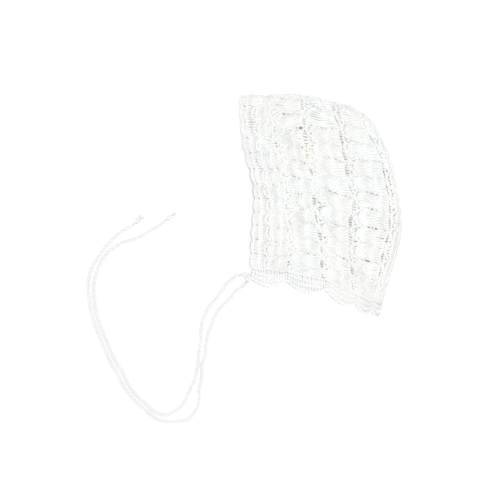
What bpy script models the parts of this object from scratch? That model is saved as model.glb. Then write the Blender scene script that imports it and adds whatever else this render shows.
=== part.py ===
# Baby bonnet of openwork shell lace, folded along its middle and lying on its side.
# Metres, +Z up. The floor is z = 0, +X points to the back of the head, +Y to the top of the head.
# The origin is the bottom centre of the bonnet without its ties.

import math

import bmesh
import bpy
import numpy as np
from mathutils import Vector

# Driving sizes
DEPTH = 0.145           # face opening to the back of the head, folded flat
HEIGHT = 0.201          # nape to the fold along the top of the head
LOFT = 0.036            # how high the near side stands over the far side
WALL = 0.002            # thickness of the lace
FOLD_RADIUS = 0.010     # roundness of the fold, seen from above
FOLD_LEVEL = 0.45       # height of the fold line, as a share of the loft beside it
PIECE_GAP = 0.0004      # room between pieces that are worked onto each other
NECK_GAP = 0.0006       # the same above the neck edging, where the fold brings the walls closer
SHELL_RELIEF = 0.0016   # how far the middle of a shell stands out
FACE_BAND = 0.0075      # width of the edging round the face
NECK_BAND = 0.0085      # width of the edging along the neck
FACE_SCALLOP = 0.0022   # depth of the small scallops round the face
NECK_SCALLOP = 0.0085   # depth of the large scallops along the neck
FAR_PEEK = 0.0016       # how far the far side shows past the near side at its free edges
TIE_DIAMETER = 0.004
KNOT_DIAMETER = 0.0062
TIE_STEP = 0.010        # distance between the points of a tie

# Counts
SHELLS_A_SIDE = 12      # shells from the neck to the top fold in one row
LACE_ROWS = 5           # rows of shells from the face to the back
OUTLINE_STEPS = 60


def named_rows(columns, rows):
    # A table whose rows and columns both have names
    return {name: dict(zip(columns, row)) for name, row in rows.items()}


# The five rows meet at lines that run from the neck to the top fold. Each table row is one such
# line, and its columns are the places along it. The last line is the back of the head.
LINE_COLUMNS = ("neck", "low", "middle", "high", "fold")
# Shares of DEPTH, from the face to the back
LINE_ACROSS = named_rows(LINE_COLUMNS, {
    "face":   (0.087, 0.099, 0.112, 0.046, 0.018),
    "first":  (0.298, 0.317, 0.292, 0.236, 0.199),
    "second": (0.540, 0.516, 0.478, 0.429, 0.404),
    "third":  (0.727, 0.696, 0.715, 0.658, 0.596),
    "fourth": (0.820, 0.884, 0.938, 0.876, 0.742),
    "back":   (0.870, 0.950, 1.000, 0.946, 0.836),
})
# Shares of HEIGHT, from the nape to the top
LINE_UP = named_rows(LINE_COLUMNS, {
    "face":   (0.181, 0.383, 0.570, 0.785, 1.000),
    "first":  (0.168, 0.365, 0.570, 0.785, 1.000),
    "second": (0.128, 0.338, 0.553, 0.776, 0.998),
    "third":  (0.065, 0.275, 0.503, 0.732, 0.966),
    "fourth": (0.037, 0.232, 0.455, 0.705, 0.926),
    "back":   (0.030, 0.225, 0.409, 0.672, 0.866),
})
# Shares of LOFT between the far and the near side
LINE_LOFT = named_rows(LINE_COLUMNS, {
    "face":   (0.17, 0.36, 0.44, 0.40, 0.34),
    "first":  (0.24, 0.60, 0.76, 0.70, 0.42),
    "second": (0.27, 0.74, 0.95, 0.88, 0.48),
    "third":  (0.27, 0.74, 1.00, 0.97, 0.54),
    "fourth": (0.24, 0.60, 0.80, 0.80, 0.56),
    "back":   (0.22, 0.40, 0.46, 0.50, 0.54),
})
LINE_SPACING = 1 / LACE_ROWS
BACK_TURN = LINE_SPACING            # the last row turns round the fold at the back
TOP_TURN = FOLD_RADIUS / HEIGHT     # and the top of each row turns round the fold on top

# Soft dents in the near side. Places and widths are shares of the rows' length and height,
# depths are shares of LOFT.
DENT_COLUMNS = ("across", "up", "width", "length", "depth")
DENTS = named_rows(DENT_COLUMNS, {
    "behind_the_neck":  (0.58, 0.16, 0.14, 0.10, 0.10),
    "over_the_ear":     (0.22, 0.34, 0.12, 0.14, 0.07),
    "upper_back":       (0.72, 0.86, 0.12, 0.12, 0.09),
    "front_of_the_top": (0.16, 0.80, 0.10, 0.14, 0.06),
})

# The cells of one row of shells. An eyelet takes the first column, between two shells.
EYELET_COLUMN = 0.16                # width of the eyelet column, as a share of the row
SHELL_COLUMNS = (0.0, EYELET_COLUMN, 0.44, 0.72)
EYELET_HALF = 0.12                  # half height of an eyelet, as a share of a shell
SHELL_STEPS = (EYELET_HALF, 0.5 - EYELET_HALF, 0.5 + EYELET_HALF, 1 - EYELET_HALF)

# Routes of the ties, from the bonnet's front corner to the end knot, lying on the floor
TIE_REST = TIE_DIAMETER / 2 + 0.0001
NEAR_TIE_ROUTE = (
    (-0.0698, -0.0724), (-0.0757, -0.0760), (-0.0815, -0.0832), (-0.0887, -0.0904),
    (-0.0944, -0.0976), (-0.0973, -0.1055), (-0.1002, -0.1134), (-0.1025, -0.1217),
    (-0.1034, -0.1343), (-0.1063, -0.1433), (-0.1068, -0.1550), (-0.1090, -0.1649),
    (-0.1090, -0.1748), (-0.1116, -0.1829), (-0.1157, -0.1892), (-0.1215, -0.1928),
    (-0.1301, -0.1940), (-0.1382, -0.1940), (-0.1454, -0.1926), (-0.1515, -0.1892),
    (-0.1587, -0.1829), (-0.1660, -0.1765), (-0.1724, -0.1690), (-0.1781, -0.1607),
    (-0.1831, -0.1499), (-0.1880, -0.1426), (-0.1953, -0.1263), (-0.2016, -0.1108),
    (-0.2062, -0.0962), (-0.2081, -0.0825), (-0.2088, -0.0758), (-0.2086, -0.0686),
    (-0.2071, -0.0596), (-0.2038, -0.0524), (-0.1991, -0.0452), (-0.1940, -0.0380),
    (-0.1879, -0.0317), (-0.1832, -0.0263), (-0.1760, -0.0218), (-0.1697, -0.0182),
)
FAR_TIE_ROUTE = (
    (-0.0757, -0.0630), (-0.0829, -0.0688), (-0.0887, -0.0760), (-0.0937, -0.0832),
    (-0.1002, -0.0904), (-0.1038, -0.0976), (-0.1067, -0.1062), (-0.1076, -0.1163),
    (-0.1079, -0.1235), (-0.1096, -0.1350), (-0.1115, -0.1487), (-0.1133, -0.1568),
    (-0.1162, -0.1631), (-0.1195, -0.1699), (-0.1229, -0.1775), (-0.1283, -0.1829),
    (-0.1337, -0.1861), (-0.1404, -0.1881), (-0.1482, -0.1856), (-0.1554, -0.1793),
    (-0.1625, -0.1731), (-0.1687, -0.1662), (-0.1738, -0.1584), (-0.1787, -0.1476),
    (-0.1837, -0.1404), (-0.1908, -0.1244), (-0.1971, -0.1092), (-0.2015, -0.0951),
    (-0.2032, -0.0818), (-0.2037, -0.0731), (-0.2022, -0.0640), (-0.1994, -0.0558),
    (-0.1954, -0.0481), (-0.1904, -0.0418), (-0.1845, -0.0371), (-0.1791, -0.0340),
    (-0.1733, -0.0317), (-0.1670, -0.0299), (-0.1607, -0.0272), (-0.1517, -0.0218),
    (-0.1440, -0.0171),
)
NEAR_END_KNOT = (-0.1643, -0.0137)
FAR_END_KNOT = (-0.1355, -0.0110)
NEAR_ROOT_SIDE = (-0.40, -0.92)     # way from the near front corner to the knot sewn to it
FAR_ROOT_SIDE = (-0.88, 0.47)       # the same for the far corner

PARTS_NAME = "baby_bonnet"


def clear_scene():
    for thing in list(bpy.data.objects):
        bpy.data.objects.remove(thing, do_unlink=True)


def spline(values, share):
    # A smooth curve through evenly spaced values, read at a share from 0 to 1
    last = len(values) - 1
    place = min(max(share, 0.0), 1.0) * last
    step = min(int(place), last - 1)
    along = place - step
    here = values[step]
    after = values[step + 1]
    before = values[step - 1] if step > 0 else 2 * here - after
    beyond = values[step + 2] if step + 2 <= last else 2 * after - here
    bend = 2 * before - 5 * here + 4 * after - beyond
    twist = 3 * (here - after) + beyond - before
    return here + 0.5 * along * (after - before + along * (bend + along * twist))


def read_lines(table, across, up):
    # One value of a line table, smooth along the lines and from line to line
    return spline([spline(list(row.values()), up) for row in table.values()], across)


def turn_share(turn):
    # Share of the sheet that lies in a fold's quarter turn, from the turn's share seen from above
    arc = turn * math.pi / 2
    return arc / (1 - turn + arc)


def turned(sheet_share, turn):
    # Share seen from above of a share along the sheet, which runs up to a fold at 1
    arc = turn_share(turn)
    if sheet_share <= 1 - arc:
        return sheet_share * (1 - turn) / (1 - arc)
    angle = (1 - sheet_share) / arc * math.pi / 2
    return 1 - turn * (1 - math.cos(angle))


def row_lines():
    # Shares along the sheet where one row of shells meets the next
    arc = turn_share(BACK_TURN)
    flat = (1 - arc) / (1 - BACK_TURN)
    return [line * LINE_SPACING * flat for line in range(LACE_ROWS)] + [1.0]


ROW_LINES = row_lines()
FACE_SHARE = FACE_BAND / DEPTH
NECK_SHARE = NECK_BAND / HEIGHT


def scallop(share):
    # Outline of one scallop, 0 at its two ends and 1 in the middle
    return abs(math.sin(math.pi * share)) ** 0.7


def shell_place(up):
    # How many shells lie between the neck edging and this share along the sheet
    return (up - NECK_SHARE) / (1 - NECK_SHARE) * SHELLS_A_SIDE


def row_place(across):
    # The row that holds this share along the sheet, and how far it lies across that row
    for row in range(LACE_ROWS):
        if across <= ROW_LINES[row + 1] or row == LACE_ROWS - 1:
            start = ROW_LINES[row]
            return row, (across - start) / (ROW_LINES[row + 1] - start)


def bare_plan(across, up):
    # A point of the sheet seen from above, in shares of depth and height
    line = turned(across, BACK_TURN)
    rise = turned(up, TOP_TURN)
    x = read_lines(LINE_ACROSS, line, rise)
    y = read_lines(LINE_UP, line, rise)
    if across < FACE_SHARE:
        x -= FACE_SCALLOP / DEPTH * scallop(shell_place(up)) * (1 - across / FACE_SHARE)
    if up < NECK_SHARE:
        y -= NECK_SCALLOP / HEIGHT * scallop(row_place(across)[1]) * (1 - up / NECK_SHARE)
    return x, y


def plan_reach():
    # Lowest and highest shares that the outline reaches
    steps = np.linspace(0, 1, 4 * OUTLINE_STEPS)
    border = [bare_plan(0, up) for up in steps] + [bare_plan(1, up) for up in steps]
    border += [bare_plan(across, 0) for across in steps] + [bare_plan(across, 1) for across in steps]
    border = np.array(border)
    return border.min(axis=0), border.max(axis=0)


PLAN_LOW, PLAN_HIGH = plan_reach()
FOLD_STANDS = np.array((WALL / 2, WALL / 2 + SHELL_RELIEF))     # what wall and shells add at the fold
FLAT_SIZE = np.array((DEPTH, HEIGHT)) - FOLD_STANDS


def plan(across, up):
    # A point of the sheet seen from above, in metres
    share = (np.array(bare_plan(across, up)) - PLAN_LOW) / (PLAN_HIGH - PLAN_LOW)
    return share * FLAT_SIZE - np.array((DEPTH, HEIGHT)) / 2


def fold_outline():
    # The fold seen from above: along the top, then down the back
    steps = np.linspace(0, 1, OUTLINE_STEPS)
    top = [plan(across, 1) for across in steps]
    back = [plan(1, 1 - down) for down in steps[1:]]
    return np.array(top + back)


FOLD_OUTLINE = fold_outline()


def fold_distance(point):
    # Distance to the fold seen from above
    start = FOLD_OUTLINE[:-1]
    step = FOLD_OUTLINE[1:] - start
    length = np.maximum((step ** 2).sum(axis=1), 1e-12)
    along = np.clip(((point - start) * step).sum(axis=1) / length, 0, 1)
    nearest = start + step * along[:, None]
    return float(np.sqrt(((point - nearest) ** 2).sum(axis=1)).min())


def dent(line, rise):
    # How far the near side sinks here, as a share of LOFT
    depth = 0.0
    for spot in DENTS.values():
        wide = (line - spot["across"]) / spot["width"]
        high = (rise - spot["up"]) / spot["length"]
        depth += spot["depth"] * math.exp(-wide ** 2 - high ** 2)
    return depth


def rise_from_fold(point):
    # 0 on the fold line, 1 where the side lies flat
    return math.sqrt(1 - (1 - min(fold_distance(point) / FOLD_RADIUS, 1)) ** 2)


def smooth_point(across, up, side):
    # A point in the middle of the wall, without the shells. side is 1 for near, -1 for far.
    point = plan(across, up)
    line = turned(across, BACK_TURN)
    rise = turned(up, TOP_TURN)
    loft = LOFT * read_lines(LINE_LOFT, line, rise)
    out = rise_from_fold(point)
    level = WALL / 2 + FOLD_LEVEL * loft
    if side > 0:
        z = level + (1 - FOLD_LEVEL) * loft * out - LOFT * dent(line, rise) * out
    else:
        z = level - FOLD_LEVEL * loft * out
        point = point - FAR_PEEK * (1 - line) * (1 - rise ** 4) * np.array((1.0, 0.6))
    return np.array((point[0], point[1], z))


def outward(across, up, side):
    # The way out of the sheet, worked out from its slopes
    step = 0.002
    wide = smooth_point(min(across + step, 1), up, side) - smooth_point(max(across - step, 0), up, side)
    high = smooth_point(across, min(up + step, 1), side) - smooth_point(across, max(up - step, 0), side)
    way = np.cross(wide, high) * side
    return way / np.linalg.norm(way)


def shell_height(across, up):
    # How far a shell stands out here. Every second row is set off by half a shell.
    row, over = row_place(across)
    along = shell_place(up) + 0.5 * (row % 2)
    if up < NECK_SHARE or across < FACE_SHARE:
        return 0.0
    return scallop(over) * scallop(along)


def sheet_point(across, up, side):
    point = smooth_point(across, up, side)
    standing = 1.0 if side > 0 else 1 - rise_from_fold(plan(across, up))
    return point + outward(across, up, side) * SHELL_RELIEF * standing * shell_height(across, up)


def crown_columns():
    # Shares along the sheet of the crown's cell borders, from its front edge to the back
    columns = []
    for row in range(LACE_ROWS):
        start = FACE_SHARE if row == 0 else ROW_LINES[row]
        width = ROW_LINES[row + 1] - start
        columns += [start + width * step for step in SHELL_COLUMNS]
    return columns + [1.0]


def crown_steps():
    # Shares along the sheet of the crown's cell borders, from the neck edging to the top fold
    places = [0.0]
    for shell in range(SHELLS_A_SIDE):
        places += [shell + step for step in SHELL_STEPS]
    places.append(float(SHELLS_A_SIDE))
    return [NECK_SHARE + place / SHELLS_A_SIDE * (1 - NECK_SHARE) for place in places]


def is_eyelet(column, step):
    # The lace is open between the round ends of two shells, where a foot of the row before stands
    row, place = divmod(column, len(SHELL_COLUMNS))
    if row >= LACE_ROWS or place != 0:
        return False
    if row % 2:
        return step % len(SHELL_STEPS) == SHELL_STEPS.index(0.5 + EYELET_HALF)
    return step % len(SHELL_STEPS) == 0 and 0 < step < SHELLS_A_SIDE * len(SHELL_STEPS)


def sheet_mesh(name, columns, steps, open_cell=None):
    # An open sheet over both sides of the bonnet. It is one sheet round the fold at the top
    # where its steps end at 1, and round the fold at the back where its columns end at 1.
    round_top = steps[-1] == 1.0
    round_back = columns[-1] == 1.0
    last_column = len(columns) - 1
    last_step = len(steps) - 1
    mesh = bmesh.new()
    spots = {}

    def spot(column, step, side):
        on_fold = (round_top and step == last_step) or (round_back and column == last_column)
        key = (column, step, 1 if on_fold else side)
        if key not in spots:
            spots[key] = mesh.verts.new(sheet_point(columns[column], steps[step], key[2]))
        return spots[key]

    for side in (-1, 1):
        for column in range(last_column):
            for step in range(last_step):
                if open_cell and open_cell(column, step):
                    continue
                corners = [(column, step), (column + 1, step), (column + 1, step + 1), (column, step + 1)]
                if round_top and round_back and (column, step) == (last_column - 1, last_step - 1):
                    corners.pop(2)
                face = [spot(i, j, side) for i, j in corners]
                mesh.faces.new(face if side > 0 else face[::-1])
    data = bpy.data.meshes.new(name)
    mesh.to_mesh(data)
    mesh.free()
    return data


def add_object(name, data, material, collection):
    made = bpy.data.objects.new(name, data)
    data.materials.append(material)
    collection.objects.link(made)
    return made


def add_lace(name, data, material, collection):
    made = add_object(name, data, material, collection)
    data.shade_smooth()
    wall = made.modifiers.new("lace_wall", "SOLIDIFY")
    wall.thickness = WALL
    wall.offset = 0
    return made


def add_crown(material, collection):
    data = sheet_mesh("crown", crown_columns(), crown_steps(), is_eyelet)
    return add_lace("crown", data, material, collection)


def add_face_edging(material, collection):
    columns = [0.0, FACE_SHARE - PIECE_GAP / DEPTH]
    data = sheet_mesh("face_edging", columns, crown_steps())
    return add_lace("face_edging", data, material, collection)


def add_neck_edging(material, collection):
    columns = [0.0, FACE_SHARE / 2] + crown_columns()
    steps = [0.0, NECK_SHARE / 2, NECK_SHARE - NECK_GAP / HEIGHT]
    data = sheet_mesh("neck_edging", columns, steps)
    return add_lace("neck_edging", data, material, collection)


def root_centre(side, way):
    # Middle of the knot that sews a tie to the front corner of one side
    corner = sheet_point(0, 0, side)
    direction = Vector(way).normalized() * (KNOT_DIAMETER / 2 + PIECE_GAP)
    height = max(corner[2], KNOT_DIAMETER / 2 + 0.0001)
    return Vector((corner[0] + direction.x, corner[1] + direction.y, height))


def end_centre(place):
    return Vector((place[0], place[1], KNOT_DIAMETER / 2 + 0.0001))


def add_knot(name, centre, material, collection):
    mesh = bmesh.new()
    bmesh.ops.create_uvsphere(mesh, u_segments=10, v_segments=6, radius=KNOT_DIAMETER / 2)
    data = bpy.data.meshes.new(name)
    mesh.to_mesh(data)
    mesh.free()
    data.shade_smooth()
    made = add_object(name, data, material, collection)
    made.location = centre
    return made


def smooth_route(points):
    # Evenly spaced points on one smooth curve through the route's own points
    points = np.array(points)
    fine = np.linspace(0, 1, 20 * len(points))
    curve = np.array([[spline(list(points[:, axis]), share) for axis in range(3)] for share in fine])
    pieces = np.linalg.norm(np.diff(curve, axis=0), axis=1)
    along = np.concatenate(([0.0], np.cumsum(pieces)))
    count = max(2, round(along[-1] / TIE_STEP)) + 1
    places = np.linspace(0, along[-1], count)
    return np.column_stack([np.interp(places, along, curve[:, axis]) for axis in range(3)])


def meet_knot(centre, towards):
    # Where a tie ends, facing a knot with a small gap
    way = (towards - centre).normalized()
    return centre + way * (KNOT_DIAMETER / 2 + PIECE_GAP)


def add_tie(name, root, end, route, material, collection):
    lying = [Vector((x, y, TIE_REST)) for x, y in route]
    points = [meet_knot(root, lying[0])] + lying + [meet_knot(end, lying[-1])]
    curve = bpy.data.curves.new(name, "CURVE")
    curve.dimensions = "3D"
    curve.bevel_depth = TIE_DIAMETER / 2
    curve.bevel_resolution = 2
    curve.use_fill_caps = True
    smooth = smooth_route(points)
    line = curve.splines.new("POLY")
    line.points.add(len(smooth) - 1)
    for point, place in zip(line.points, smooth):
        point.co = (place[0], place[1], place[2], 1)
    return add_object(name, curve, material, collection)


def cotton(name, colour, roughness):
    material = bpy.data.materials.new(name)
    material.use_nodes = True
    shader = material.node_tree.nodes["Principled BSDF"]
    shader.inputs["Base Color"].default_value = (*colour, 1)
    shader.inputs["Roughness"].default_value = roughness
    shader.inputs["Metallic"].default_value = 0
    return material


def build_bonnet():
    clear_scene()
    collection = bpy.data.collections.new(PARTS_NAME)
    bpy.context.scene.collection.children.link(collection)
    centre = bpy.data.objects.new("bonnet_centre", None)
    collection.objects.link(centre)
    lace = cotton("cotton_lace", (0.94, 0.94, 0.92), 0.85)
    edging = cotton("cotton_edging", (0.95, 0.95, 0.94), 0.8)
    string = cotton("cotton_string", (0.93, 0.94, 0.94), 0.75)
    near_root = root_centre(1, NEAR_ROOT_SIDE)
    far_root = root_centre(-1, FAR_ROOT_SIDE)
    near_end = end_centre(NEAR_END_KNOT)
    far_end = end_centre(FAR_END_KNOT)
    pieces = [
        add_crown(lace, collection),
        add_face_edging(edging, collection),
        add_neck_edging(edging, collection),
        add_knot("near_tie_root", near_root, string, collection),
        add_knot("far_tie_root", far_root, string, collection),
        add_tie("near_tie", near_root, near_end, NEAR_TIE_ROUTE, string, collection),
        add_tie("far_tie", far_root, far_end, FAR_TIE_ROUTE, string, collection),
        add_knot("near_tie_knot", near_end, string, collection),
        add_knot("far_tie_knot", far_end, string, collection),
    ]
    for piece in pieces:
        piece.parent = centre


build_bonnet()
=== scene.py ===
# Baby bonnet of white crocheted shell lace, folded flat on a white table, seen from above.
# Metres, in the CAD frame: +X to the back of the head, +Y to the top of the head, table at z = 0.
import math

import bpy
import numpy as np
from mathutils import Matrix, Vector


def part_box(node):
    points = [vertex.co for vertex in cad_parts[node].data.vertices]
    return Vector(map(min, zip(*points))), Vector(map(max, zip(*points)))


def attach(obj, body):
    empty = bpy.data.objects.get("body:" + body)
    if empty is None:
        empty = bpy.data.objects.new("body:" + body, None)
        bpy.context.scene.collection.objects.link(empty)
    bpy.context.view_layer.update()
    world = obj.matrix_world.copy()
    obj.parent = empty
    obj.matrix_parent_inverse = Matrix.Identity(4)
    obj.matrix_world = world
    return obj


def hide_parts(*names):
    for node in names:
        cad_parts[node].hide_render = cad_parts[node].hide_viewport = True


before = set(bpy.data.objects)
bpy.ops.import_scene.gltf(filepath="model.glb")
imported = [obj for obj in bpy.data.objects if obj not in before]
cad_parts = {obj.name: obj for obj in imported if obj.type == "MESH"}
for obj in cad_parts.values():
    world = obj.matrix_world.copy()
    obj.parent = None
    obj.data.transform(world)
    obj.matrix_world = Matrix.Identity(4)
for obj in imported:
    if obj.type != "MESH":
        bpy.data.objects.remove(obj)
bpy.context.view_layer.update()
luck = np.random.default_rng(11)    # small differences from stitch to stitch


def selectNone():
    if bpy.context.object and bpy.context.object.mode != "OBJECT":
        bpy.ops.object.mode_set(mode="OBJECT")
    bpy.ops.object.select_all(action="DESELECT")


def unit(ways):
    return ways / np.maximum(np.linalg.norm(ways, axis=-1, keepdims=True), 1e-12)


# Camera straight above, as in the photograph
camera = {"middle": (-0.06345, -0.03983), "height": 3.0, "frameWidth": 0.45, "sensor": 36.0}
bpy.ops.object.camera_add(location=(*camera["middle"], camera["height"]), rotation=(0, 0, 0))
cam = bpy.context.object
cam.name = "camera"
cam.data.sensor_width = camera["sensor"]
cam.data.lens = camera["sensor"] * camera["height"] / camera["frameWidth"]
cam.data.clip_end = 20
bpy.context.scene.camera = cam
print("camera set")


class Soc:
    # A socket that can be added, multiplied and so on
    def __init__(self, nodes, socket):
        self.nodes, self.socket = nodes, socket

    def maths(self, operation, other=0.0):
        return self.nodes.make("ShaderNodeMath", {"operation": operation}, {0: self, 1: other})

    def __add__(self, other):
        return self.maths("ADD", other)

    def __mul__(self, other):
        return self.maths("MULTIPLY", other)

    def sharpened(self, contrast):
        # Noise spread out from its middle, and kept between 0 and 1
        spread = (self + (-0.5)) * contrast + 0.5
        return spread.maths("MAXIMUM", 0.0).maths("MINIMUM", 1.0)


class Nodes:
    def __init__(self, name):
        self.material = bpy.data.materials.new(name)
        self.material.use_nodes = True
        self.tree = self.material.node_tree
        self.shader = self.tree.nodes["Principled BSDF"]

    def make(self, kind, settings=None, values=None, out=0):
        # One node: its settings first, then the values or links of its sockets
        node = self.tree.nodes.new(kind)
        for name, value in (settings or {}).items():
            setattr(node, name, value)
        for key, value in (values or {}).items():
            self.feed(node.inputs[key], value)
        return Soc(self, node.outputs[out])

    def feed(self, socket, value):
        if isinstance(value, Soc):
            self.tree.links.new(value.socket, socket)
        else:
            socket.default_value = value


# Every yarn: how fine its fibres, patches and warm places are, how deep light goes, how high plies are
yarnGrain = {"fibres": 2600.0, "patches": 50.0, "warmth": 34.0, "lightDepth": 0.0030, "relief": 0.00035}


def cottonYarn(name, look):
    # Cotton yarn: plies that twist along each strand, loose fibres over them, a little tint, painted shade
    # between plies
    nodes = Nodes(name)
    shader = nodes.shader.inputs
    shader["Sheen Weight"].default_value = look["sheen"]
    shader["Sheen Roughness"].default_value = 0.45
    shader["Specular IOR Level"].default_value = 0.25
    shader["Subsurface Weight"].default_value = look["softness"]
    shader["Subsurface Radius"].default_value = (1, 1, 0.95)
    shader["Subsurface Scale"].default_value = yarnGrain["lightDepth"]
    strand = nodes.make("ShaderNodeUVMap", {"uv_map": "strand"})
    place = nodes.make("ShaderNodeTexCoord", out="Object")
    along = nodes.make("ShaderNodeSeparateXYZ", {}, {0: strand}, 0)
    around = nodes.make("ShaderNodeSeparateXYZ", {}, {0: strand}, 1)

    def wound(closer, more):
        # Waves that wind round the strand, between 0 and 1
        turns = along * (look["twist"] * closer) + around * (look["plies"] * more)
        return (turns * math.tau).maths("SINE") * 0.5 + 0.5

    def noise(grain, detail):
        return nodes.make("ShaderNodeTexNoise", {},
                          {"Vector": place, "Scale": yarnGrain[grain], "Detail": detail})

    ply, fine = wound(1, 1), wound(3, 4)
    fibres = noise("fibres", 3.0)
    patches = noise("patches", 2.0).sharpened(4.0)
    # darker in random patches and fibres, and in the grooves between the plies, where this is painted shade
    patchesAndPlyShade = patches * 0.6 + fibres * 0.25 + ply * 0.15
    warmth = noise("warmth", 1.0).sharpened(2.6)
    white = nodes.make("ShaderNodeMix", {"data_type": "RGBA"},
                       {0: warmth, 6: (*look["cool"], 1), 7: (*look["warm"], 1)}, 2)
    # the colour darkens towards this grey: random patches, plus painted shade in the ply grooves
    colour = nodes.make("ShaderNodeMix", {"data_type": "RGBA", "blend_type": "MULTIPLY"},
                        {0: (patchesAndPlyShade * (-1) + 1) * look["uneven"], 6: white, 7: (0.80, 0.80, 0.79, 1)}, 2)
    nodes.feed(shader["Base Color"], colour)
    nodes.feed(shader["Roughness"], fibres * 0.2 + look["roughness"])
    height = ply * 0.55 + fine * 0.25 + fibres * 0.4
    bump = nodes.make("ShaderNodeBump", {}, {"Strength": look["bump"], "Distance": yarnGrain["relief"],
                                             "Height": height})
    nodes.feed(shader["Normal"], bump)
    return nodes.material


# uneven: how much the colour darkens in random patches and, as painted shade, in the grooves between plies
yarnLook = {
    "lace": {"cool": (0.881, 0.944, 0.901), "warm": (0.946, 0.936, 0.862), "uneven": 0.60,
             "roughness": 0.76, "sheen": 0.12, "softness": 0.6, "bump": 0.42, "plies": 2.0, "twist": 0.38},
    "edging": {"cool": (0.870, 0.905, 0.880), "warm": (0.905, 0.895, 0.860), "uneven": 0.35,
               "roughness": 0.74, "sheen": 0.12, "softness": 0.6, "bump": 0.55, "plies": 2.0, "twist": 0.38},
    # The string is the same white cotton as the lace, painted greyer: painted shade, as the ties lie open to
    # the light while the lace shades itself
    "string": {"cool": (0.642, 0.656, 0.650), "warm": (0.662, 0.654, 0.648), "uneven": 0.35,
               "roughness": 0.72, "sheen": 0.15, "softness": 0.5, "bump": 0.6, "plies": 2.0, "twist": 0.30},
}
laceYarn = cottonYarn("laceYarn", yarnLook["lace"])
edgingYarn = cottonYarn("edgingYarn", yarnLook["edging"])
stringYarn = cottonYarn("stringYarn", yarnLook["string"])
print("yarns made")


def startStrand(name, sides, width, thick, across, out):
    # A short ring of yarn, where a strand of a stitch begins
    selectNone()
    bpy.ops.mesh.primitive_circle_add(vertices=sides, radius=1, fill_type="NGON", location=(0, 0, 0))
    strand = bpy.context.object
    strand.name = name
    bpy.ops.object.mode_set(mode="EDIT")
    bpy.ops.mesh.select_all(action="SELECT")
    bpy.ops.transform.resize(value=(width, thick, 1))
    bpy.ops.transform.translate(value=(across, out, 0))
    return strand


def growStrand(name, sides, start, steps):
    # The ring is extruded: each step says how far along, how wide, how thick, where, and its turn
    strand = startStrand(name, sides, *start)
    width, thick, across, out = start
    level, turn = 0.0, 0.0
    for place, newWidth, newThick, newAcross, newOut, newTurn in steps:
        bpy.ops.mesh.extrude_region_move(
            TRANSFORM_OT_translate={"value": (newAcross - across, newOut - out, place - level)})
        middle = (newAcross, newOut, place)
        bpy.ops.transform.resize(value=(newWidth / width, newThick / thick, 1), center_override=middle)
        if newTurn != turn:
            bpy.ops.transform.rotate(value=math.radians(newTurn - turn), orient_axis="Z",
                                     center_override=middle)
        width, thick, across, out, turn, level = newWidth, newThick, newAcross, newOut, newTurn, place
    bpy.ops.mesh.select_all(action="SELECT")
    bpy.ops.mesh.normals_make_consistent(inside=False)
    bpy.ops.object.mode_set(mode="OBJECT")
    return strand


class Stitch:
    # A finished stitch as arrays: its points, the level of each point, its faces and strand UVs
    def __init__(self, strands):
        points, sizes, corners, uvs = [], [], [], []
        count = 0
        for strand in strands:
            mesh = strand.data
            spots = np.array([vertex.co for vertex in mesh.vertices])
            points.append(spots)
            sizes += [face.loop_total for face in mesh.polygons]
            corners.append(np.array([corner.vertex_index for corner in mesh.loops]) + count)
            uvs.append(self.strandUvs(mesh, spots))
            count += len(spots)
            bpy.data.objects.remove(strand, do_unlink=True)
        self.spots = np.concatenate(points)
        self.corners = np.concatenate(corners)
        self.strand = np.concatenate(uvs)
        self.sizes = np.array(sizes)
        self.levels, self.level = np.unique(np.round(self.spots[:, 2], 4), return_inverse=True)

    def strandUvs(self, mesh, spots):
        # Along the strand, and the angle round its middle without a jump inside one face
        heights = np.round(spots[:, 2], 4)
        middles = {height: spots[heights == height].mean(axis=0) for height in np.unique(heights)}
        angles = [math.atan2(*(spot - middles[height])[1::-1]) / math.tau
                  for spot, height in zip(spots, heights)]
        uvs = []
        for face in mesh.polygons:
            first = angles[face.vertices[0]]
            uvs += [(spots[corner][2], angles[corner] - round(angles[corner] - first))
                    for corner in face.vertices]
        return np.array(uvs)


# A tall stitch: a strand that turns as it rises, with the yarn laid round it half way up.
# Columns: how far along, half width, half thickness, place across, place out, turn in degrees
postSteps = [(0.14, 1.0, 0.85, 0, 0, 30), (0.36, 1.02, 0.9, 0, 0.02, 70), (0.6, 0.98, 0.88, 0, 0, 110),
             (0.84, 1.04, 0.9, 0, 0.02, 150), (1.0, 0.7, 0.6, 0, 0, 180)]
wrapSteps = [(0.36, 0.42, 0.36, -0.3, 0.72, 0), (0.6, 0.42, 0.36, 0.35, 0.74, 0),
             (0.84, 0.2, 0.2, 0.85, 0.3, 0)]
tallStitch = Stitch([growStrand("post", 6, (0.6, 0.5, 0, 0), postSteps),
                     growStrand("wrap", 5, (0.2, 0.2, -0.85, 0.3), wrapSteps)])

# One link of a chain: two loops of yarn that spread like a V
linkSteps = [(0.3, 0.50, 0.54, 0.42, 0.14, 0), (0.72, 0.50, 0.50, 0.54, 0.10, 0),
             (1.0, 0.2, 0.22, 0.22, -0.12, 0)]
# An open stitch: two thin strands that bow apart and leave a small eyelet
bowSteps = [(0.25, 0.48, 0.50, 0.78, 0.10, 0), (0.5, 0.52, 0.54, 0.92, 0.16, 0),
            (0.75, 0.48, 0.50, 0.78, 0.10, 0), (1.0, 0.38, 0.40, 0.32, -0.05, 0)]


def twoStrands(name, start, steps):
    # The same strand on the left and on the right
    width, thick, across, out = start
    strands = []
    for side in (-1, 1):
        mirrored = [(*step[:3], side * step[3], *step[4:]) for step in steps]
        strands.append(growStrand(name, 5, (width, thick, side * across, out), mirrored))
    return Stitch(strands)


chainLink = twoStrands("loop", (0.16, 0.18, 0.08, -0.05), linkSteps)
openStitch = twoStrands("bow", (0.38, 0.40, 0.32, -0.05), bowSteps)
print("stitches modelled:", len(tallStitch.spots), len(chainLink.spots), "points each")


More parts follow.
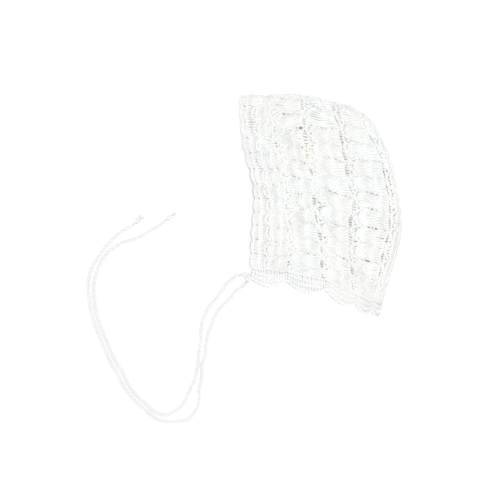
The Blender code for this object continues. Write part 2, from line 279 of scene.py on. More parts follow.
# The bonnet's cloth, as the CAD has it
bonnet = {"depth": 0.145, "height": 0.201, "loft": 0.036, "wall": 0.002, "foldRadius": 0.010,
          "foldLevel": 0.45, "shellRelief": 0.0016, "faceBand": 0.0075, "neckBand": 0.0085,
          "faceScallop": 0.0022, "neckScallop": 0.0085, "scallopPower": 0.7, "farPeek": 0.0016,
          "peekDown": 0.6, "rows": 5, "shells": 12}
# Each line runs from the neck to the top fold, in shares of depth, height and loft
lineAcross = {"face": (0.087, 0.099, 0.112, 0.046, 0.018), "first": (0.298, 0.317, 0.292, 0.236, 0.199),
              "second": (0.540, 0.516, 0.478, 0.429, 0.404), "third": (0.727, 0.696, 0.715, 0.658, 0.596),
              "fourth": (0.820, 0.884, 0.938, 0.876, 0.742), "back": (0.870, 0.950, 1.000, 0.946, 0.836)}
lineUp = {"face": (0.181, 0.383, 0.570, 0.785, 1.000), "first": (0.168, 0.365, 0.570, 0.785, 1.000),
          "second": (0.128, 0.338, 0.553, 0.776, 0.998), "third": (0.065, 0.275, 0.503, 0.732, 0.966),
          "fourth": (0.037, 0.232, 0.455, 0.705, 0.926), "back": (0.030, 0.225, 0.409, 0.672, 0.866)}
lineLoft = {"face": (0.17, 0.36, 0.44, 0.40, 0.34), "first": (0.24, 0.60, 0.76, 0.70, 0.42),
            "second": (0.27, 0.74, 0.95, 0.88, 0.48), "third": (0.27, 0.74, 1.00, 0.97, 0.54),
            "fourth": (0.24, 0.60, 0.80, 0.80, 0.56), "back": (0.22, 0.40, 0.46, 0.50, 0.54)}
# Dents: place across and up, width, length, depth as a share of the loft
dents = {"behindTheNeck": (0.58, 0.16, 0.14, 0.10, 0.10), "overTheEar": (0.22, 0.34, 0.12, 0.14, 0.07),
         "upperBack": (0.72, 0.86, 0.12, 0.12, 0.09), "frontOfTheTop": (0.16, 0.80, 0.10, 0.14, 0.06)}
size = np.array((bonnet["depth"], bonnet["height"]))
clothLength = 0.160     # the cloth from the face to the back, along the near side
backTurn, topTurn = 1 / bonnet["rows"], bonnet["foldRadius"] / bonnet["height"]
faceShare, neckShare = bonnet["faceBand"] / bonnet["depth"], bonnet["neckBand"] / bonnet["height"]
shells = bonnet["shells"]


def splineWeights(count, shares):
    # How much each of some evenly spaced values counts at a share along a smooth curve through them
    place = np.clip(shares, 0, 1) * (count - 1)
    step = np.minimum(place.astype(int), count - 2)
    t = place - step
    weights = np.zeros((len(shares), count + 2))
    near = ((-t + 2 * t**2 - t**3) / 2, (2 - 5 * t**2 + 3 * t**3) / 2,
            (t + 4 * t**2 - 3 * t**3) / 2, (-t**2 + t**3) / 2)
    for offset, weight in enumerate(near):
        weights[np.arange(len(shares)), step + offset] += weight
    weights[:, 1] += 2 * weights[:, 0]
    weights[:, 2] -= weights[:, 0]
    weights[:, -2] += 2 * weights[:, -1]
    weights[:, -3] -= weights[:, -1]
    return weights[:, 1:-1]


def turnShare(turn):
    arc = turn * math.pi / 2
    return arc / (1 - turn + arc)


def turned(shares, turn):
    # Shares seen from above of shares along the cloth, which turns round a fold at its end
    arc = turnShare(turn)
    return np.where(shares <= 1 - arc, shares * (1 - turn) / (1 - arc),
                    1 - turn * (1 - np.cos((1 - shares) / arc * math.pi / 2)))


flatPart = (1 - turnShare(backTurn)) / (1 - backTurn)
rowLines = np.array([line / bonnet["rows"] * flatPart for line in range(bonnet["rows"])] + [1.0])


def scallop(shares):
    return np.abs(np.sin(math.pi * shares)) ** bonnet["scallopPower"]


def rowPlaces(across):
    # The row of shells that each place lies in, and how far over that row it is
    row = np.clip(np.searchsorted(rowLines, across) - 1, 0, bonnet["rows"] - 1)
    return row, (across - rowLines[row]) / (rowLines[row + 1] - rowLines[row])


def shellsUp(up):
    # How many shells lie between the neck edging and each place
    return (up - neckShare) / (1 - neckShare) * shells


def readLines(table, across, up):
    rows = np.array(list(table.values()))
    lineWeights = splineWeights(len(rows), turned(across, backTurn))
    return lineWeights @ rows @ splineWeights(rows.shape[1], turned(up, topTurn)).T


def barePlan(across, up):
    across, up = np.asarray(across, float), np.asarray(up, float)
    over = rowPlaces(across)[1]
    faceBow = np.clip(1 - across / faceShare, 0, 1)[:, None] * scallop(shellsUp(up))
    neckBow = scallop(over)[:, None] * np.clip(1 - up / neckShare, 0, 1)
    x = readLines(lineAcross, across, up) - bonnet["faceScallop"] / size[0] * faceBow
    y = readLines(lineUp, across, up) - bonnet["neckScallop"] / size[1] * neckBow
    return np.stack((x, y), axis=-1)


steps = np.linspace(0, 1, 240)
border = np.concatenate([barePlan(*pair).reshape(-1, 2)
                         for pair in (([0], steps), ([1], steps), (steps, [0]), (steps, [1]))])
planLow, planHigh = border.min(axis=0), border.max(axis=0)
flatSize = size - np.array((bonnet["wall"] / 2, bonnet["wall"] / 2 + bonnet["shellRelief"]))


def plan(across, up):
    return (barePlan(across, up) - planLow) / (planHigh - planLow) * flatSize - size / 2


def foldDistance(points):
    # Distance to the fold along the top and down the back, seen from above
    shares = np.linspace(0, 1, 60)
    line = np.concatenate((plan(shares, [1])[:, 0], plan([1], 1 - shares)[0, 1:]))
    nearest = np.full(len(points), 9.0)
    for start, end in zip(line[:-1], line[1:]):
        step = end - start
        along = np.clip((points - start) @ step / max(step @ step, 1e-12), 0, 1)
        nearest = np.minimum(nearest, np.linalg.norm(points - start - along[:, None] * step, axis=1))
    return nearest


def clothGrid(across, up):
    # Both sides of the cloth in one grid: up the near side, over the top fold, down the far side
    flat = plan(across, up)
    line, rise = turned(across, backTurn)[:, None], turned(up, topTurn)[None, :]
    loft = bonnet["loft"] * readLines(lineLoft, across, up)
    nearFold = foldDistance(flat.reshape(-1, 2)).reshape(flat.shape[:2]) / bonnet["foldRadius"]
    out = np.sqrt(np.maximum(1 - (1 - np.minimum(nearFold, 1)) ** 2, 0))
    dented = sum(depth * np.exp(-((line - placeAcross) / wide) ** 2 - ((rise - placeUp) / tall) ** 2)
                 for placeAcross, placeUp, wide, tall, depth in dents.values())
    level = bonnet["wall"] / 2 + bonnet["foldLevel"] * loft
    nearLevel = level + (1 - bonnet["foldLevel"]) * loft * out - bonnet["loft"] * dented * out
    near = np.dstack((flat, nearLevel))
    peek = bonnet["farPeek"] * (1 - line) * (1 - rise ** 4)
    farLevel = level - bonnet["foldLevel"] * loft * out
    far = np.dstack((flat[..., 0] - peek, flat[..., 1] - bonnet["peekDown"] * peek, farLevel))
    sheet = np.concatenate((near, far[:, -2::-1]), axis=1)
    ways = unit(np.cross(np.gradient(sheet, axis=0), np.gradient(sheet, axis=1)))
    # the shells stand out a little, on the far side only beside the fold
    row, over = rowPlaces(across)
    height = scallop(over)[:, None] * scallop(shellsUp(up)[None, :] + 0.5 * (row % 2)[:, None])
    height = height * (up >= neckShare) * (across >= faceShare)[:, None] * bonnet["shellRelief"]
    height = np.concatenate((height, (height * (1 - out))[:, -2::-1]), axis=1)
    return sheet + ways * height[..., None], ways


gridAcross, gridUp = 281, 401
cloth, clothWays = clothGrid(np.linspace(0, 1, gridAcross), np.linspace(0, 1, gridUp))
clothPoints = cloth.reshape(-1, 3)
print("cloth worked out:", clothPoints.min(axis=0).round(4), clothPoints.max(axis=0).round(4))


# The lace is worked by hand, so its lines wander a little: how far across and along, how many waves
# are added up, how many turns each makes over the cloth, and how wide the still edge is
wander = {"across": 0.0011, "along": 0.085, "waves": 7, "acrossWaves": (2.5, 7.0),
          "alongWaves": (3.0, 12.0), "edge": 0.06}
waveShape = (2, wander["waves"])
wanderPhase = luck.uniform(0, math.tau, waveShape)
wanderAcross = luck.uniform(*wander["acrossWaves"], waveShape)
wanderAlong = luck.uniform(*wander["alongWaves"], waveShape) * luck.choice((-1, 1), waveShape)


def wandered(across, along):
    # Nothing moves at the cloth's own edges
    still = np.clip(np.minimum(across, 1 - across) / wander["edge"], 0, 1)
    still = still * np.clip(np.minimum(along, 2 * shells - along), 0, 1)
    moves = []
    for way in range(2):
        turns = across[..., None] * wanderAcross[way] + along[..., None] / (2 * shells) * wanderAlong[way]
        moves.append(np.sin(turns * math.tau + wanderPhase[way]).sum(axis=-1) / math.sqrt(wander["waves"]))
    return (across + still * moves[0] * wander["across"] / clothLength,
            along + still * moves[1] * wander["along"])


def onCloth(across, along, out):
    # Places on the cloth. along counts shells from the near neck line, over the top, to the far one.
    across, along = wandered(across, along)
    share = neckShare + np.minimum(along, 2 * shells - along) / shells * (1 - neckShare)
    share = np.clip(share, 0, 1)
    place = np.where(along <= shells, share, 2 - share) * (gridUp - 1)
    line = np.clip(across, 0, 1) * (gridAcross - 1)
    firstPlace = np.minimum(place.astype(int), 2 * gridUp - 3)
    firstLine = np.minimum(line.astype(int), gridAcross - 2)
    pastLine, pastPlace = (line - firstLine)[..., None], (place - firstPlace)[..., None]

    def read(grid):
        def atPlace(place):
            return grid[firstLine, place] * (1 - pastLine) + grid[firstLine + 1, place] * pastLine

        return atPlace(firstPlace) * (1 - pastPlace) + atPlace(firstPlace + 1) * pastPlace

    ways = unit(read(clothWays))
    return read(cloth) + ways * np.asarray(out)[..., None], ways


# Yarn on the table is pressed flat just above it, and UVs count millimetres along a strand
lowest, millimetre = 0.00003, 0.001


class Crochet:
    # Gathers copies of stitches and makes them one piece
    def __init__(self):
        self.points, self.sizes, self.corners, self.strands, self.count = [], [], [], [], 0

    def sew(self, stitch, across, along, out, width, thick):
        # One copy for each row of the arrays, whose columns are the stitch's levels
        spots, ways = onCloth(across, along, out)
        self.lay(stitch, spots, ways, width, thick)

    def lay(self, stitch, spots, ways, width, thick):
        count = len(spots)
        if not count:
            return
        ahead = unit(np.gradient(spots, axis=1))
        side = unit(np.cross(ways, ahead))
        lift = np.cross(ahead, side)
        width = np.broadcast_to(width, count)[:, None, None]
        thick = np.broadcast_to(thick, count)[:, None, None]
        points = (spots[:, stitch.level] + side[:, stitch.level] * stitch.spots[None, :, :1] * width
                  + lift[:, stitch.level] * stitch.spots[None, :, 1:2] * thick)
        length = np.linalg.norm(np.diff(spots, axis=1), axis=2).sum(axis=1) / millimetre
        strands = np.repeat(stitch.strand[None], count, axis=0)
        strands[..., 0] = strands[..., 0] * length[:, None] + luck.uniform(0, 9, count)[:, None]
        firsts = self.count + np.arange(count) * len(stitch.spots)
        self.points.append(points.reshape(-1, 3))
        self.sizes.append(np.tile(stitch.sizes, count))
        self.corners.append((stitch.corners[None] + firsts[:, None]).ravel())
        self.strands.append(strands.reshape(-1, 2))
        self.count += count * len(stitch.spots)

    def piece(self, name, yarn, slot, nodes):
        points = np.concatenate(self.points)
        points[:, 2] = np.maximum(points[:, 2], lowest)
        sizes, corners = np.concatenate(self.sizes), np.concatenate(self.corners)
        mesh = bpy.data.meshes.new(name)
        mesh.vertices.add(len(points))
        mesh.vertices.foreach_set("co", points.ravel())
        mesh.loops.add(len(corners))
        mesh.loops.foreach_set("vertex_index", corners)
        mesh.polygons.add(len(sizes))
        mesh.polygons.foreach_set("loop_start", np.concatenate(([0], np.cumsum(sizes)[:-1])))
        mesh.polygons.foreach_set("loop_total", sizes)
        mesh.update(calc_edges=True)
        mesh.polygons.foreach_set("use_smooth", np.ones(len(sizes), bool))
        mesh.uv_layers.new(name="strand").data.foreach_set("uv", np.concatenate(self.strands).ravel())
        mesh.materials.append(yarn)
        made = bpy.data.objects.new(name, mesh)
        bpy.context.scene.collection.objects.link(made)
        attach(made, "root")
        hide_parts(*nodes)
        print(name, "made:", int((sizes - 2).sum()), "triangles")
        return made


# One shell fans out from its foot in tiers of stitches, with a chain on top of each tier.
# Columns: where the tier starts, stitches, how near the outer ones come to the next shell, yarn, open
shellTiers = ((0.02, 4, 1.00, 1.08, True), (0.14, 6, 1.00, 1.12, True), (0.26, 7, 1.02, 1.20, False),
              (0.55, 8, 1.01, 1.20, False), (0.87, 5, 0.96, 1.15, True))
backTiers = ((0.02, 8, 1.00, 1.05, False), (0.21, 6, 1.00, 1.05, True), (0.32, 7, 1.02, 1.26, False),
             (0.59, 8, 1.01, 1.26, False), (0.87, 5, 0.96, 1.20, True))
shell = {
    "openYarn": (1.00, 1.40),   # the open stitches aren't the same at each shell
    "openUneven": 2.5,          # how much more uneven they are than the others
    "openChain": 0.75,          # their chain is thinner
    "loosest": 0.160,           # how far the widest slit between two shells opens
    "tightest": 0.45,           # the narrowest slit, as a share of the widest
    "slack": (1.6, 1.4, 1.15, 1.15, 1.15),    # how much wider the slits of each row are
    "slackPower": 0.3,          # the open yarn of a slack row is thinner by this power of its slack
    "tuck": 0.06,               # how far a stitch reaches into the next tier, as a share of its own
    "shift": 0.030,             # how far the rows' feet lie behind the rows' lines
    "bulge": 0.0064, "faceValley": 0.75, "faceTop": 0.02,     # how round the shells' ends are
    "fullWidth": 0.21, "fanPower": 0.6,                       # how a shell widens from its foot
    "rim": 0.99, "rimLift": 0.0007, "liftFrom": 0.6,          # its last chain, and how its end lifts
    "edge": 0.05,               # stitches nearer than this to a neck line are left out
    "yarn": 0.00108, "thick": 0.00082, "chain": 0.00115, "chainThick": 0.00105,
    "chainOut": 0.0006, "innerOut": 0.0003, "linkReach": 1.35, "linkRise": 0.0002,
    "unevenPlace": 0.05, "unevenYarn": 0.05, "unevenOut": 0.00008,
    "bridgeStep": 0.0027, "bridgeHalf": 0.095, "bridgeYarn": 0.0009, "bridgeOut": 0.0001, "bridged": 0.96,
    "bridgeStart": 0.05, "bridgeEnd": 0.98, "bridgeUneven": 0.009, "bridgeLean": 0.012,
    "seamLinks": 87, "seamOut": 0.0007,
    "nearSide": 0.006,          # the near side lies above this level
}
# Where the lace is pulled open: place across the table and up it, how far round, how much thinner
pulledOpen = {"behindTheEar": (0.0265, -0.0443, 0.0070, 0.62),
              "lowBehindTheEar": (0.0108, -0.0578, 0.0058, 0.60),
              "middleOfTheBack": (0.0625, -0.0173, 0.0080, 0.40),
              "overTheEar": (0.0345, 0.0010, 0.0110, 0.38),
              "topFront": (-0.0410, 0.0870, 0.0065, 0.42),
              "top": (-0.0085, 0.0815, 0.0075, 0.40),
              "topBack": (0.0153, 0.0798, 0.0065, 0.45)}
chainReach = 1.3    # the links of an edge or a seam reach over the next ones by this much

# The open feet of a row lie on the line where the next row begins
shellLines = np.array([faceShare, *(rowLines[1:-1] + shell["shift"]), 1.0])


def shellPlace(row, rho, phi):
    # rho runs from a shell's foot to its round end, phi from one side to the other
    start, end = shellLines[row:row + 2]
    wide = end - start
    bulge = shell["bulge"] / clothLength / wide
    valley, top = (bulge * shell["faceValley"], shell["faceTop"]) if row == 0 else (0.0, -bulge)
    share = 1 - rho * (1 - valley + (valley - top) * (1 - phi ** 2))
    fan = np.minimum(1, (rho / shell["fullWidth"]) ** shell["fanPower"])
    if row == bonnet["rows"] - 1:
        fan = 1 + 0 * rho       # the last row's feet meet along the back
    return start + share * wide, 0.5 * phi * fan


def rimLift(rho):
    return shell["rimLift"] * np.clip((rho - shell["liftFrom"]) / (1 - shell["liftFrom"]), 0, 1) ** 2


def thinning(spots):
    # The yarn is thinner where the lace is pulled open
    share = np.ones(len(spots))
    for x, y, reach, less in pulledOpen.values():
        away = np.hypot(spots[:, 0] - x, spots[:, 1] - y) / reach
        share -= less * np.exp(-away ** 2) * (spots[:, 2] > shell["nearSide"])
    return share


def pairs(first, second):
    # Each value of the one with each value of the other
    return [grid.ravel() for grid in np.meshgrid(first, second)]


def stitchPlaces(count):
    # The middles of some stitches side by side, between -1 and 1
    return -1 + (2 * np.arange(count) + 1) / count


def unevenOut(count):
    return luck.normal(0, shell["unevenOut"], count)[:, None]


def chainPlaces(total, links):
    # The levels of each link of one chain, as places between 0 and the chain's end
    ends = np.linspace(0, total, links + 1)
    places = ends[:-1, None] + (ends[1] - ends[0]) * chainReach * chainLink.levels[None, :]
    return np.minimum(places, total)


def between(along, edge):
    # Only what lies between the two neck lines is sewn
    middle = along.mean(axis=1)
    return (middle > edge) & (middle < 2 * shells - edge)


class ShellRow:
    # One row of shells: up the near side, over the top and down the far side
    def __init__(self, row):
        self.row, self.work = row, Crochet()
        self.last = row == bonnet["rows"] - 1
        self.tiers = backTiers if self.last else shellTiers
        self.tops = [tier[0] for tier in self.tiers[1:]] + [1.0]
        self.middles = np.arange(2 * shells) + 0.5 if row % 2 == 0 else np.arange(2 * shells + 1)
        slack, places = shell["slack"][row], 2 * shells + 2
        widths = luck.uniform(shell["tightest"], 1, (len(self.tiers), places))
        self.slits = shell["loosest"] * slack * widths
        self.drawn = luck.uniform(*shell["openYarn"], places) / slack ** shell["slackPower"]

    def sewStitches(self, tier):
        # The stitches of one tier, fanned out over each shell
        low, count, spread, share, isOpen = self.tiers[tier]
        tall = self.tops[tier] - low
        stitch = openStitch if isOpen else tallStitch
        tuck = shell["tuck"] * tall
        below = tuck if tier > 0 else 0
        rho = low - below + (tall + tuck + below) * stitch.levels
        middle, phi = pairs(self.middles, spread * stitchPlaces(count))
        slit = self.slits[tier, np.round(middle + 0.5 * np.sign(phi)).astype(int)]
        phi = phi * (1 - slit * np.abs(phi) ** 3) + luck.normal(0, shell["unevenPlace"] / count, len(phi))
        across, aside = shellPlace(self.row, np.minimum(rho[None, :], 1) + 0 * phi[:, None], phi[:, None])
        along = middle[:, None] + aside
        kept = between(along, shell["edge"])
        along = np.clip(along, 0, 2 * shells)
        out = rimLift(rho)[None, :] + unevenOut(len(phi))
        uneven = shell["unevenYarn"] * (shell["openUneven"] if isOpen else 1)
        yarn = shell["yarn"] * share * (1 + luck.normal(0, uneven, len(phi)))
        yarn = yarn * (self.drawn[middle.astype(int)] if isOpen else 1)
        yarn = yarn * thinning(onCloth(across, along, out)[0].mean(axis=1))
        self.work.sew(stitch, across[kept], along[kept], out[kept], yarn[kept], shell["thick"])

    def sewChain(self, tier):
        # The chain on top of a tier runs on from shell to shell
        isOpen, atRim = self.tiers[tier][-1], tier == len(self.tiers) - 1
        rho = min(self.tops[tier], shell["rim"])
        links = self.tiers[tier][1] + 1
        middle, begin = pairs(self.middles, -1 + 2 * np.arange(links) / links)
        phi = begin[:, None] + 2 / links * shell["linkReach"] * chainLink.levels[None, :]
        over = np.where(phi > 1, phi - 2, phi)      # the end of a link lies on the next shell
        across, aside = shellPlace(self.row, np.full_like(phi, rho), over)
        along = middle[:, None] + aside + (phi > 1)
        kept = between(along, 0)
        proud = shell["chainOut"] if atRim or isOpen else shell["innerOut"]
        out = proud + rimLift(rho) + unevenOut(len(along))
        out = out + shell["linkRise"] * chainLink.levels[None, :]
        yarn = shell["chain"] * (shell["openChain"] if isOpen and not atRim else 1)
        self.work.sew(chainLink, across[kept], np.clip(along, 0, 2 * shells)[kept], out[kept],
                      yarn, shell["chainThick"])

    def sewBridges(self):
        # Short bridges of yarn part each slit into small eyelets
        start, end = shellLines[self.row:self.row + 2]
        step = shell["bridgeStep"] / clothLength / (end - start)
        rho = np.arange(self.tiers[2][0] + shell["bridgeStart"], shell["bridgeEnd"], step)
        rho, valley = pairs(rho, self.middles[:-1] + 0.5)
        stays = luck.uniform(0, 1, len(rho)) < shell["bridged"]
        rho, valley = rho[stays] + luck.normal(0, shell["bridgeUneven"], stays.sum()), valley[stays]
        span = chainLink.levels[None, :] * 2 - 1
        lean = luck.normal(0, shell["bridgeLean"], len(rho))[:, None] * span
        across = shellPlace(self.row, np.clip(rho[:, None] + lean, 0, 1), np.ones((len(rho), 1)))[0]
        along = valley[:, None] + shell["bridgeHalf"] * span
        out = shell["bridgeOut"] + rimLift(rho)[:, None] + 0 * along
        self.work.sew(chainLink, across, along, out, shell["bridgeYarn"], shell["thick"])

    def sewSeam(self):
        # The seam down the back
        along = chainPlaces(shells, shell["seamLinks"])
        self.work.sew(chainLink, np.ones_like(along), along, shell["seamOut"] + 0 * along,
                      shell["chain"], shell["chainThick"])


for row in range(bonnet["rows"]):
    laceRow = ShellRow(row)
    for tier in range(len(laceRow.tiers)):
        laceRow.sewStitches(tier)
        laceRow.sewChain(tier)
    laceRow.sewBridges()
    if laceRow.last:
        laceRow.sewSeam()
    laceRow.work.piece(f"laceRow{row + 1}", laceYarn, "cotton_lace", ["crown"])

# The edging round the face: tall stitches, then a small scallop of them at each shell, with a chain
# along both. links says how many each shell has, in the inner and in the outer chain.
edging = {"perShell": 7, "middle": 0.46, "spread": 0.98, "foot": 0.97, "gather": 0.86, "links": (7, 8),
          "chain": 0.00105, "yarn": 0.00102, "thick": 0.0008, "out": 0.0003, "chainOut": 0.0006,
          "uneven": 0.05, "neckLinks": 73, "inset": 0.03}
# Columns: where the tier starts and ends on its way down, and the rows below which it is open
neckTiers = ((0.0, 0.34, (0,)), (0.34, 0.66, ()), (0.66, 1.0, (1,)))
# Columns: the stitch, how far apart the stitches are, yarn
closedNeck, openNeck = (tallStitch, 0.0018, 0.00112), (openStitch, 0.0023, 0.00092)


def sewEdge(work, across, along):
    # One chain of an edging
    work.sew(chainLink, across, along, edging["chainOut"] + 0 * along, edging["chain"], shell["chainThick"])


def faceEdging():
    work = Crochet()
    middles, count = np.arange(2 * shells) + 0.5, edging["perShell"]
    rim, levels = edging["middle"] * faceShare, tallStitch.levels[None, :]
    for scalloped in (False, True):
        middle, phi = pairs(middles, edging["spread"] * stitchPlaces(count))
        phi = phi + luck.normal(0, edging["uneven"] / count, len(phi))
        if scalloped:
            start, end, lean = np.full_like(phi, rim), 0.0, edging["gather"] + (1 - edging["gather"]) * levels
        else:
            start, end, lean = shellPlace(0, np.full_like(phi, edging["foot"]), phi)[0], rim, 1
        across = start[:, None] + (end - start)[:, None] * levels
        along = middle[:, None] + 0.5 * phi[:, None] * lean + 0 * across
        out = edging["out"] + unevenOut(len(phi)) + 0 * across
        work.sew(tallStitch, across, along, out, edging["yarn"], edging["thick"])
    for place, links in zip((rim, 0.0), edging["links"]):
        along = chainPlaces(2 * shells, 2 * shells * links)
        sewEdge(work, np.full_like(along, place), along)
    return work.piece("faceEdging", edgingYarn, "cotton_edging", ["face_edging"])


def neckEdging():
    # Along the neck: three tiers of stitches between chains, which follow the cloth's large scallops
    work = Crochet()
    depth, inset = neckShare / (1 - neckShare) * shells, edging["inset"]
    for far in (False, True):
        for inner, outer, openRows in neckTiers:
            for row in range(bonnet["rows"]):
                stitch, step, yarn = openNeck if row in openRows else closedNeck
                start, end = rowLines[row], rowLines[row + 1]
                count = round((end - start) * clothLength / step)
                uneven = luck.normal(0, edging["uneven"] / count, count)
                share = (np.arange(count) + 0.5) / count + uneven
                fan = inset + (1 - 2 * inset) * share[:, None] + 0 * stitch.levels[None, :]
                across = start + (end - start) * fan
                down = inner + (outer - inner) * (stitch.levels[None, :] * (1 + 2 * inset) - inset)
                along = -depth * np.clip(down, 0, 1) + 0 * across
                out = unevenOut(count) + 0 * across
                work.sew(stitch, across, 2 * shells - along if far else along, out,
                         yarn, edging["thick"])
        for down in (0.0, *(tier[1] for tier in neckTiers)):
            across = chainPlaces(1, edging["neckLinks"])
            along = np.full_like(across, -depth * down)
            sewEdge(work, across, 2 * shells - along if far else along)
    return work.piece("neckEdging", edgingYarn, "cotton_edging", ["neck_edging"])


faceEdging()
neckEdging()

# The ties: three strands plaited together, as they lie on the table in the photograph
tie = {"diameter": 0.004, "knot": 0.0062, "gap": 0.0004, "strand": 0.00088, "wide": 0.00112, "high": 0.0006,
       "plait": 0.0105, "step": 0.0009, "rest": 0.00168, "cadRest": 0.0021, "sides": 6,
       "taper": 0.004, "narrowest": 0.25, "settle": 12, "fine": 20}
nearRoute = (
    (-0.0698, -0.0724), (-0.0757, -0.0760), (-0.0815, -0.0832), (-0.0887, -0.0904),
    (-0.0944, -0.0976), (-0.0973, -0.1055), (-0.1002, -0.1134), (-0.1025, -0.1217),
    (-0.1034, -0.1343), (-0.1063, -0.1433), (-0.1068, -0.1550), (-0.1090, -0.1649),
    (-0.1090, -0.1748), (-0.1116, -0.1829), (-0.1157, -0.1892), (-0.1215, -0.1928),
    (-0.1301, -0.1940), (-0.1382, -0.1940), (-0.1454, -0.1926), (-0.1515, -0.1892),
    (-0.1587, -0.1829), (-0.1660, -0.1765), (-0.1724, -0.1690), (-0.1781, -0.1607),
    (-0.1831, -0.1499), (-0.1880, -0.1426), (-0.1953, -0.1263), (-0.2016, -0.1108),
    (-0.2062, -0.0962), (-0.2081, -0.0825), (-0.2088, -0.0758), (-0.2086, -0.0686),
    (-0.2071, -0.0596), (-0.2038, -0.0524), (-0.1991, -0.0452), (-0.1940, -0.0380),
    (-0.1879, -0.0317), (-0.1832, -0.0263), (-0.1760, -0.0218), (-0.1697, -0.0182),
)
farRoute = (
    (-0.0757, -0.0630), (-0.0829, -0.0688), (-0.0887, -0.0760), (-0.0937, -0.0832),
    (-0.1002, -0.0904), (-0.1038, -0.0976), (-0.1067, -0.1062), (-0.1076, -0.1163),
    (-0.1079, -0.1235), (-0.1096, -0.1350), (-0.1115, -0.1487), (-0.1133, -0.1568),
    (-0.1162, -0.1631), (-0.1195, -0.1699), (-0.1229, -0.1775), (-0.1283, -0.1829),
    (-0.1337, -0.1861), (-0.1404, -0.1881), (-0.1482, -0.1856), (-0.1554, -0.1793),
    (-0.1625, -0.1731), (-0.1687, -0.1662), (-0.1738, -0.1584), (-0.1787, -0.1476),
    (-0.1837, -0.1404), (-0.1908, -0.1244), (-0.1971, -0.1092), (-0.2015, -0.0951),
    (-0.2032, -0.0818), (-0.2037, -0.0731), (-0.2022, -0.0640), (-0.1994, -0.0558),
    (-0.1954, -0.0481), (-0.1904, -0.0418), (-0.1845, -0.0371), (-0.1791, -0.0340),
    (-0.1733, -0.0317), (-0.1670, -0.0299), (-0.1607, -0.0272), (-0.1517, -0.0218),
    (-0.1440, -0.0171),
)


def boxMiddle(node):
    low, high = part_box(node)
    return np.array((low + high) / 2)


def smoothLine(points, step):
    # Evenly spaced points on one smooth curve through some points
    points = np.array(points)
    curve = splineWeights(len(points), np.linspace(0, 1, tie["fine"] * len(points))) @ points
    along = np.concatenate(([0.0], np.cumsum(np.linalg.norm(np.diff(curve, axis=0), axis=1))))
    places = np.linspace(0, along[-1], max(2, round(along[-1] / step)) + 1)
    return np.column_stack([np.interp(places, along, curve[:, axis]) for axis in range(3)]), along[-1]


class Tube:
    # The faces of one strand along a number of points, closed at its ends
    def __init__(self, count, sides):
        angles = np.arange(sides) / sides
        self.level = np.repeat(np.arange(count), sides)
        self.spots = np.column_stack((np.tile(np.cos(angles * math.tau), count),
                                      np.tile(np.sin(angles * math.tau), count), self.level))
        corners, strands = [], []
        for ring in range(count - 1):
            for side in range(sides):
                after = (side + 1) % sides
                corners += [ring * sides + side, ring * sides + after,
                            (ring + 1) * sides + after, (ring + 1) * sides + side]
                strands += [(ring, side / sides), (ring, (side + 1) / sides),
                            (ring + 1, (side + 1) / sides), (ring + 1, side / sides)]
        corners += list(range(sides))[::-1] + list(range((count - 1) * sides, count * sides))
        strands += [(0, 0)] * sides + [(count - 1, 0)] * sides
        self.corners = np.array(corners)
        self.strand = np.array(strands, float) / (count - 1, 1)
        self.sizes = np.array([4] * (count - 1) * sides + [sides] * 2)


def plait(name, line, length, nodes):
    # Three strands that cross over and under each other along a line
    work = Crochet()
    ahead = unit(np.gradient(line, axis=0))
    side = unit(np.cross((0, 0, 1), ahead))
    lift = np.cross(ahead, side)
    along = np.arange(len(line)) / (len(line) - 1) * length
    for strand in range(3):
        turn = math.tau * (along / tie["plait"] + strand / 3)
        ease = np.clip(np.minimum(along, length - along) / tie["taper"], tie["narrowest"], 1)
        course = line + side * (tie["wide"] * np.sin(turn) * ease)[:, None]
        course = course + lift * (tie["high"] * np.sin(2 * turn) * ease)[:, None]
        tube = Tube(len(course), tie["sides"])
        work.lay(tube, course[None], lift[None] + 0 * course[None], tie["strand"], tie["strand"])
    return work.piece(name, stringYarn, "cotton_string", nodes)


# The knots: size and height of the loop, its yarn, how the yarn tilts, and the frayed tail's threads
knot = {"size": 0.00068, "tall": 1.15, "yarn": 0.00112, "tilt": 0.0004, "points": 91, "sides": 8,
        "threads": 9, "thread": 0.0003, "threadPoints": 6, "threadSides": 5, "threadStart": 0.0018,
        "threadEnd": (0.0058, 0.0075), "sink": 0.3, "unevenSink": 0.0002, "floor": 0.0004, "spread": 0.35}


def knotPiece(name, middle, node, tail):
    # An overhand knot of the tie, pulled tight, with a short tail
    work = Crochet()
    turn = np.linspace(0, math.tau, knot["points"])
    loop = np.column_stack((np.sin(turn) + 2 * np.sin(2 * turn), np.cos(turn) - 2 * np.cos(2 * turn),
                            -1.25 * np.sin(3 * turn))) * knot["size"]
    course = loop * (1, 1, knot["tall"]) + middle
    ways = unit(loop + (0, 0, knot["tilt"]))
    work.lay(Tube(len(course), knot["sides"]), course[None], ways[None], knot["yarn"], knot["yarn"])
    if tail is not None:
        for thread in range(knot["threads"]):
            lean = np.array((*luck.normal(0, knot["spread"], 2), 0))
            end = luck.uniform(*knot["threadEnd"])
            reach = np.linspace(knot["threadStart"], end, knot["threadPoints"])[:, None]
            course = middle + unit(tail + lean) * reach
            sunk = middle[2] - reach[:, 0] * knot["sink"] + luck.normal(0, knot["unevenSink"])
            course[:, 2] = np.maximum(sunk, knot["floor"])
            ways = np.zeros_like(course)[None] + (0, 0, 1)
            tube = Tube(knot["threadPoints"], knot["threadSides"])
            work.lay(tube, course[None], ways, knot["thread"], knot["thread"])
    return work.piece(name, stringYarn, "cotton_string", [node])


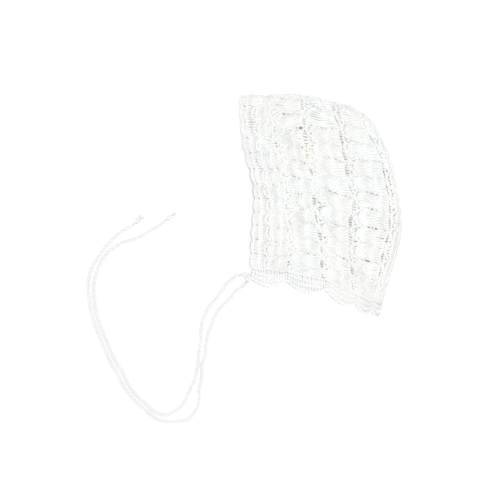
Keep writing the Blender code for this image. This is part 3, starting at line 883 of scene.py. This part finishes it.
for side, route in (("near", nearRoute), ("far", farRoute)):
    root, end = boxMiddle(f"{side}_tie_root"), boxMiddle(f"{side}_tie_knot")
    lying = [np.array((x, y, tie["cadRest"])) for x, y in route]
    reach = tie["knot"] / 2 + tie["gap"]
    points = [root + unit(lying[0] - root) * reach, *lying, end + unit(lying[-1] - end) * reach]
    line, length = smoothLine(points, tie["step"])
    line[:, 2] -= np.clip(np.arange(len(line)) / tie["settle"], 0, 1) * (tie["cadRest"] - tie["rest"])
    cord = plait(f"{side}Tie", line, length, [f"{side}_tie"])
    rootKnot = knotPiece(f"{side}TieRoot", root, f"{side}_tie_root", None)
    endKnot = knotPiece(f"{side}TieKnot", end, f"{side}_tie_knot", unit(end - lying[-1]))
    print(side, "tie", round(length, 4), "m long")

# White table and soft light from above, a little more from the lower left
room = {"table": (0.88, 0.88, 0.88), "width": 8, "below": 0.0002, "sky": 0.27}
selectNone()
bpy.ops.mesh.primitive_plane_add(size=room["width"], location=(0, 0, -room["below"]))
table = bpy.context.object
table.name = "table"
tableNodes = Nodes("tableTop")
tableNodes.shader.inputs["Roughness"].default_value = 0.9
tableNodes.shader.inputs["Base Color"].default_value = (*room["table"], 1)
table.data.materials.append(tableNodes.material)

world = bpy.data.worlds.new("room")
bpy.context.scene.world = world
world.use_nodes = True
world.node_tree.nodes["Background"].inputs["Color"].default_value = (1, 1, 1, 1)
world.node_tree.nodes["Background"].inputs["Strength"].default_value = room["sky"]
# Columns: place, width, power
lights = {"key": ((-0.9, -0.8, 1.5), 1.2, 8.5), "top": ((0.22, 0.06, 2.2), 1.2, 65.0)}
for name, (spot, width, power) in lights.items():
    bpy.ops.object.light_add(type="AREA", location=spot)
    lamp = bpy.context.object
    lamp.name = name
    lamp.data.size = width
    lamp.data.energy = power
    aim = -np.array(spot) + np.array((0, 0, 0.01))
    tilt = math.atan2(math.hypot(aim[0], aim[1]), -aim[2])
    lamp.rotation_euler = (tilt, 0, math.atan2(aim[0], -aim[1]) + math.pi)
bpy.context.scene.view_settings.view_transform = "Standard"
bpy.context.scene.view_settings.gamma = 1.8     # the photograph is light, with pale shadows
print("table and lights set")
